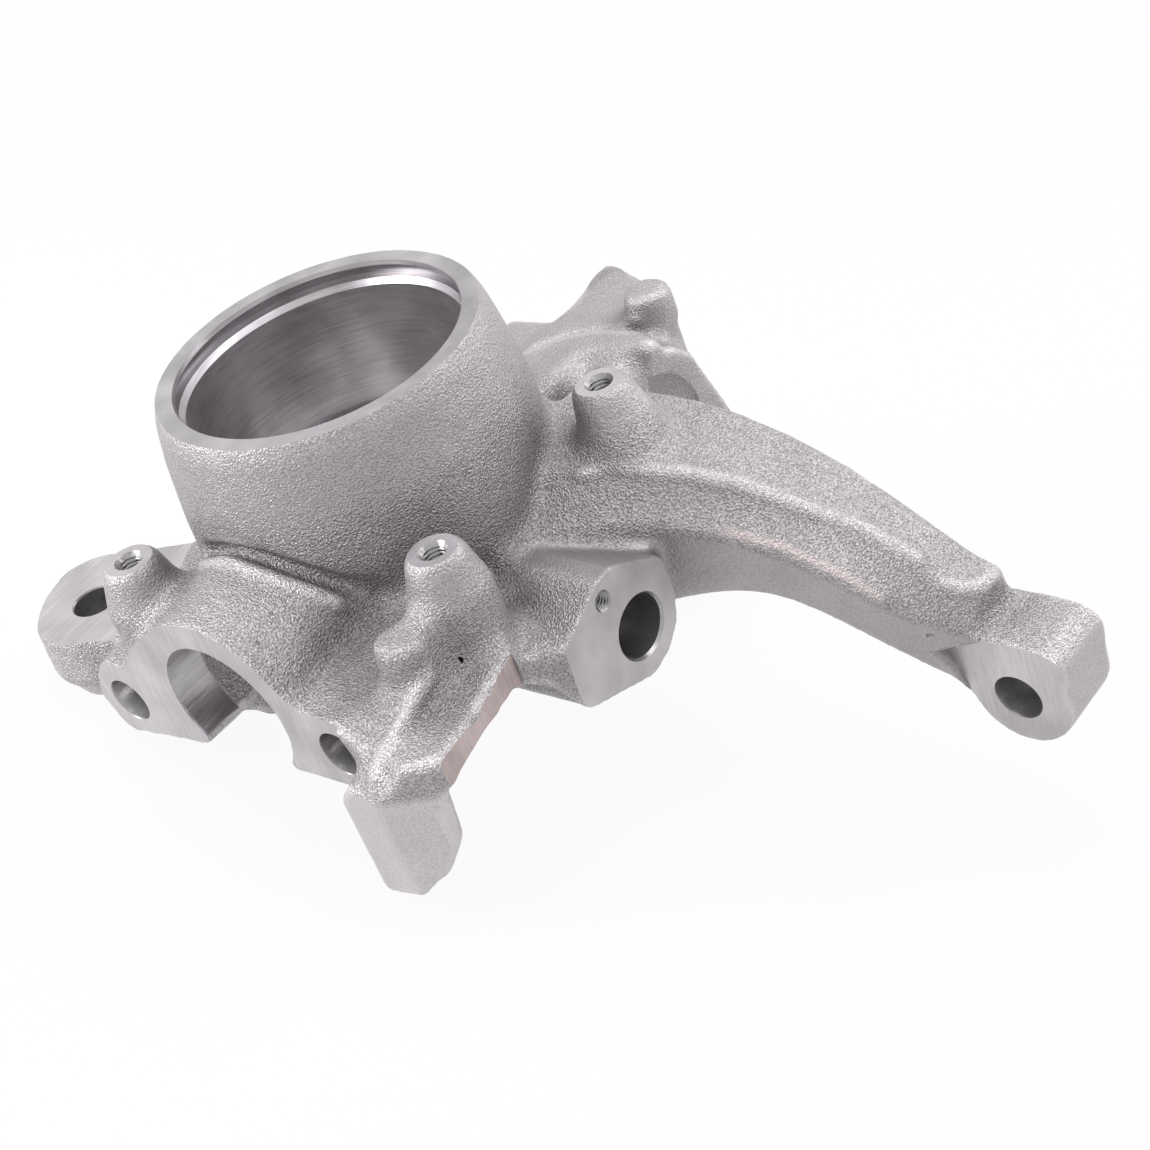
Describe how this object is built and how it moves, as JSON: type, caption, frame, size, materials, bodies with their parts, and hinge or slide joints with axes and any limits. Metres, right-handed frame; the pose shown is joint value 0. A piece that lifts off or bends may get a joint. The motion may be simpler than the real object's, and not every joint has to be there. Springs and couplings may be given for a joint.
{
  "type": "steering knuckle",
  "caption": "Cast iron front steering knuckle with a bearing housing, a curved steering arm, caliper ears, a ball joint flange and a strut leg.",
  "frame": {"origin": "on the wheel bearing's axis, at the middle of the bearing seat", "axes": "+Z along the bearing's axis, out of the car; -Y down in the car, out of the ball joint flange; +X towards the steering arm"},
  "size_m": [0.2859, 0.213, 0.1507],
  "materials": {
    "cast_iron": "shot-blasted sand casting with machined seats"
  },
  "bodies": {
    "root": {"steering_knuckle": "cast_iron"}
  },
  "joints": []
}
